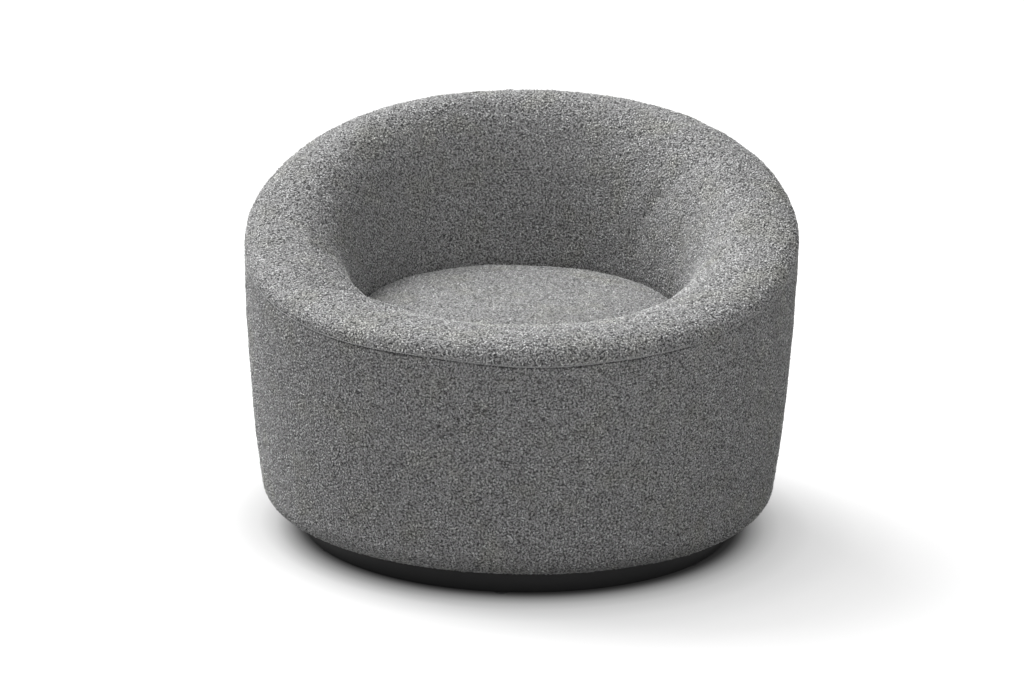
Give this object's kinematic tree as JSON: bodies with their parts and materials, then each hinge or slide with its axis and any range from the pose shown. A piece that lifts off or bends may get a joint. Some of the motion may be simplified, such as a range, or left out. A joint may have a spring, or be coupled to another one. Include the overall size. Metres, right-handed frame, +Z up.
{
  "type": "swivel tub chair",
  "caption": "Round swivel tub chair: padded drum body with a slanted rolled rim and a round crowned seat, on a ball-bearing swivel and a low recessed plinth.",
  "frame": {"origin": "on the floor under the swivel axis", "axes": "+Z up, -Y the low front of the chair, +X its right side as seen by someone facing it from the front"},
  "size_m": [1, 0.9984, 0.733],
  "materials": {
    "boucle": "mid-grey boucle of short curled loops",
    "foam": "open-cell cream foam",
    "plywood": "sanded birch plywood",
    "fibreboard": "thin hardboard",
    "black_lacquer": "satin black lacquer",
    "zinc_steel": "bright zinc plate",
    "felt": "pressed dark felt",
    "cambric": "thin black non-woven cloth"
  },
  "bodies": {
    "base": {"plinth_ring": "black_lacquer", "plinth_board": "plywood", "swivel_lower_plate": "zinc_steel", "swivel_pin": "zinc_steel", "lower_plate_screw_1": "zinc_steel", "lower_plate_screw_2": "zinc_steel", "lower_plate_screw_3": "zinc_steel", "lower_plate_screw_4": "zinc_steel", "felt_glide_1": "felt", "felt_glide_2": "felt", "felt_glide_3": "felt", "felt_glide_4": "felt", "felt_glide_5": "felt", "felt_glide_6": "felt"},
    "ball_cage": {"ball_cage": "zinc_steel"},
    "seat_body": {"swivel_upper_plate": "zinc_steel", "upper_plate_screw_1": "zinc_steel", "upper_plate_screw_2": "zinc_steel", "upper_plate_screw_3": "zinc_steel", "upper_plate_screw_4": "zinc_steel", "floor_board": "plywood", "seat_ring": "plywood", "top_rail": "plywood", "rib_01": "plywood", "rib_02": "plywood", "rib_03": "plywood", "rib_04": "plywood", "rib_05": "plywood", "rib_06": "plywood", "rib_07": "plywood", "rib_08": "plywood", "rib_09": "plywood", "rib_10": "plywood", "rib_11": "plywood", "rib_12": "plywood", "seat_spring_1": "zinc_steel", "seat_spring_2": "zinc_steel", "seat_spring_3": "zinc_steel", "seat_spring_4": "zinc_steel", "seat_spring_5": "zinc_steel", "spring_clip_01": "zinc_steel", "spring_clip_02": "zinc_steel", "spring_clip_03": "zinc_steel", "spring_clip_04": "zinc_steel", "spring_clip_05": "zinc_steel", "spring_clip_06": "zinc_steel", "spring_clip_07": "zinc_steel", "spring_clip_08": "zinc_steel", "spring_clip_09": "zinc_steel", "spring_clip_10": "zinc_steel", "seat_pad": "felt", "seat_cushion_foam": "foam", "seat_cushion_cover": "boucle", "rim_foam": "foam", "wall_foam": "foam", "outer_board": "fibreboard", "drum_cover": "boucle", "tub_cover": "boucle", "dust_cover": "cambric"}
  },
  "joints": [
    {"name": "swivel", "type": "hinge", "parent": "base", "child": "seat_body", "pos_m": [0, 0, 0.0378], "axis": [0, 0, 1], "continuous": true},
    {"name": "ball_cage_orbit", "type": "hinge", "parent": "base", "child": "ball_cage", "pos_m": [0, 0, 0.0378], "axis": [0, 0, 1], "continuous": true}
  ],
  "couplings": [
    {"joint": "ball_cage_orbit", "follows": "swivel", "ratio": 0.5}
  ]
}
